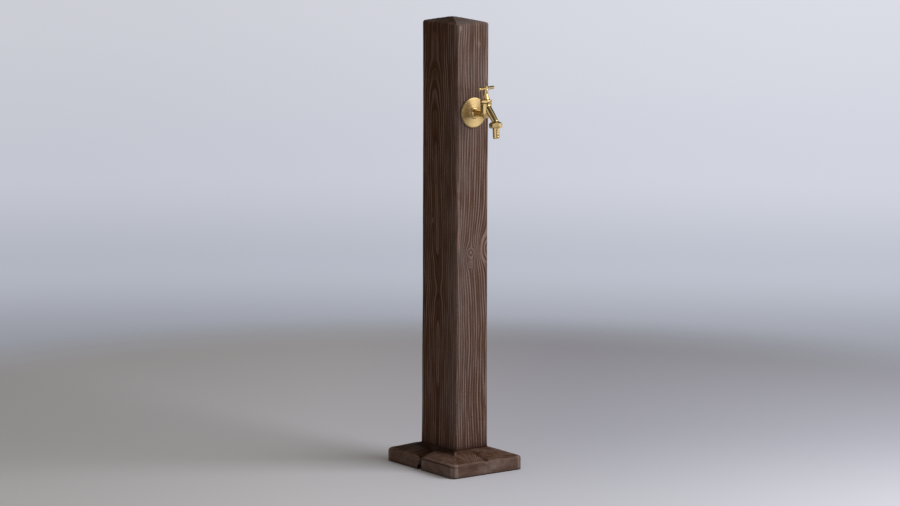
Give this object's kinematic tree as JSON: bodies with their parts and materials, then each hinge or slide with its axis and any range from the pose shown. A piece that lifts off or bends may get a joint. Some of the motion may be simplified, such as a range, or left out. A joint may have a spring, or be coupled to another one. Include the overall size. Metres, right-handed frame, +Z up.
{
  "type": "garden standpipe",
  "caption": "Garden standpipe: tall wood-grain moulded post with a hipped top on a flared plinth, with a brass screw-down bib tap, tee handle and ribbed hose tail.",
  "frame": {"origin": "on the ground, under the middle of the post and plinth", "axes": "+Z up the post, -Y out of the face that carries the tap, +X to the right seen from the tap side"},
  "size_m": [0.19, 0.2875, 1],
  "materials": {
    "post_wood_effect": "matte",
    "plinth_wood_effect": "matte",
    "rosette_brass": "brushed",
    "polished_brass": "polished",
    "plain_brass": "machined",
    "copper": "drawn",
    "steel": "zinc plated",
    "fibre": "matte",
    "rubber": "matte"
  },
  "bodies": {
    "standpipe": {"post": "post_wood_effect", "plinth": "plinth_wood_effect", "foot_inserts": "plain_brass", "foot_screws": "steel", "inlet_connector": "plain_brass", "inlet_back_nut": "plain_brass", "inlet_olive": "plain_brass", "inlet_pipe_nut": "plain_brass", "riser_pipe": "copper", "elbow_pipe_nut": "plain_brass", "elbow_olive": "plain_brass", "tap_elbow": "plain_brass", "elbow_screws": "steel", "tail_seal": "fibre", "rosette": "rosette_brass", "tap_body": "polished_brass", "bonnet_seal": "fibre", "bonnet": "polished_brass", "gland_packing": "rubber", "gland_nut": "polished_brass"},
    "valve_jumper": {"valve_disc": "plain_brass", "tap_washer": "rubber", "washer_nut": "plain_brass"},
    "handle_spindle": {"spindle": "polished_brass", "tee_handle": "polished_brass", "handle_screw": "steel"},
    "hose_connection": {"hose_tail": "polished_brass", "hose_washer": "rubber"},
    "union_ring": {"union_nut": "polished_brass"}
  },
  "joints": [
    {"name": "valve_lift", "type": "slide", "parent": "standpipe", "child": "valve_jumper", "axis": [0, 0, 1], "range_m": [0, 0.004]},
    {"name": "handle_turn", "type": "hinge", "parent": "valve_jumper", "child": "handle_spindle", "pos_m": [0, -0.1115, 0.843], "axis": [0, 0, 1], "range_deg": [0, 720]},
    {"name": "union_drop", "type": "slide", "parent": "standpipe", "child": "hose_connection", "axis": [0, -0.0872, -0.9962], "range_m": [0, 0.00726]},
    {"name": "union_turn", "type": "hinge", "parent": "hose_connection", "child": "union_ring", "pos_m": [0, -0.146, 0.7795], "axis": [0, -0.0872, -0.9962], "range_deg": [0, 1440]}
  ],
  "couplings": [
    {"joint": "valve_lift", "follows": "handle_turn", "m_per_rad": 0.00031831},
    {"joint": "union_drop", "follows": "union_turn", "m_per_rad": 0.00028871}
  ]
}
